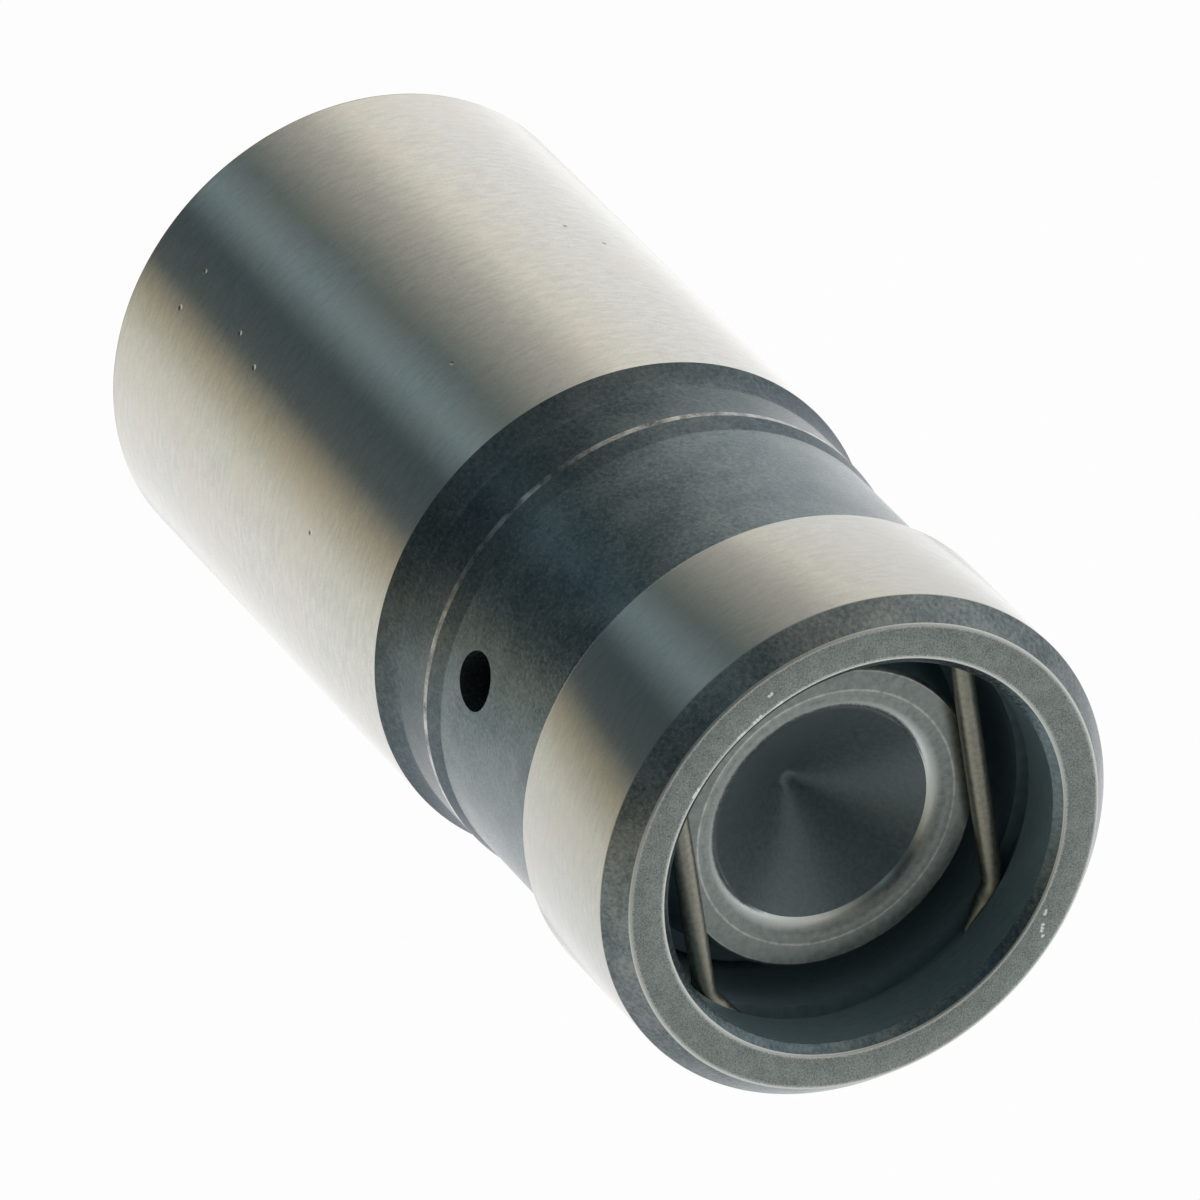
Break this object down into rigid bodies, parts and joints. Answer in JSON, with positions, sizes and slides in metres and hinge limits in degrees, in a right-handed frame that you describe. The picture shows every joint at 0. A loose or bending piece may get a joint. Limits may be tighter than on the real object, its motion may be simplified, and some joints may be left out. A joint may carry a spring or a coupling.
{
  "type": "hydraulic valve lifter",
  "caption": "Flat-foot hydraulic valve lifter: ground body with black waist and oil hole, sprung plunger with ball check valve, pushrod cap held by a wire clip.",
  "frame": {"origin": "middle of the foot's flat face", "axes": "+Z along the lifter's axis from the foot to the mouth, -Y towards the oil feed hole"},
  "size_m": [0.023, 0.023, 0.0493],
  "materials": {
    "ground_body": "ground lands, black oxide collar, waist and bore",
    "clip_wire": "drawn spring wire",
    "cap_steel": "turned, hardened and tumbled",
    "plunger_steel": "ground",
    "ball_steel": "polished bearing ball",
    "cage_sheet": "pressed sheet",
    "spring_wire": "oil tempered wire"
  },
  "bodies": {
    "tappet": {"tappet_body": "ground_body", "retainer_clip": "clip_wire", "plunger_return_spring": "spring_wire"},
    "plunger": {"plunger": "plunger_steel", "plunger_cap": "cap_steel", "check_valve_retainer": "cage_sheet", "check_valve_spring": "spring_wire"},
    "check_ball": {"check_ball": "ball_steel"}
  },
  "joints": [
    {"name": "plunger_slide", "type": "slide", "parent": "tappet", "child": "plunger", "axis": [0, 0, 1], "range_m": [-0.004, 0], "stiffness_N_per_m": 1500, "springref_m": 0.005, "deforming": ["plunger_return_spring"]},
    {"name": "check_ball_lift", "type": "slide", "parent": "plunger", "child": "check_ball", "axis": [0, 0, 1], "range_m": [-0.0005, 0], "stiffness_N_per_m": 100, "springref_m": 0.001, "deforming": ["check_valve_spring"]}
  ]
}
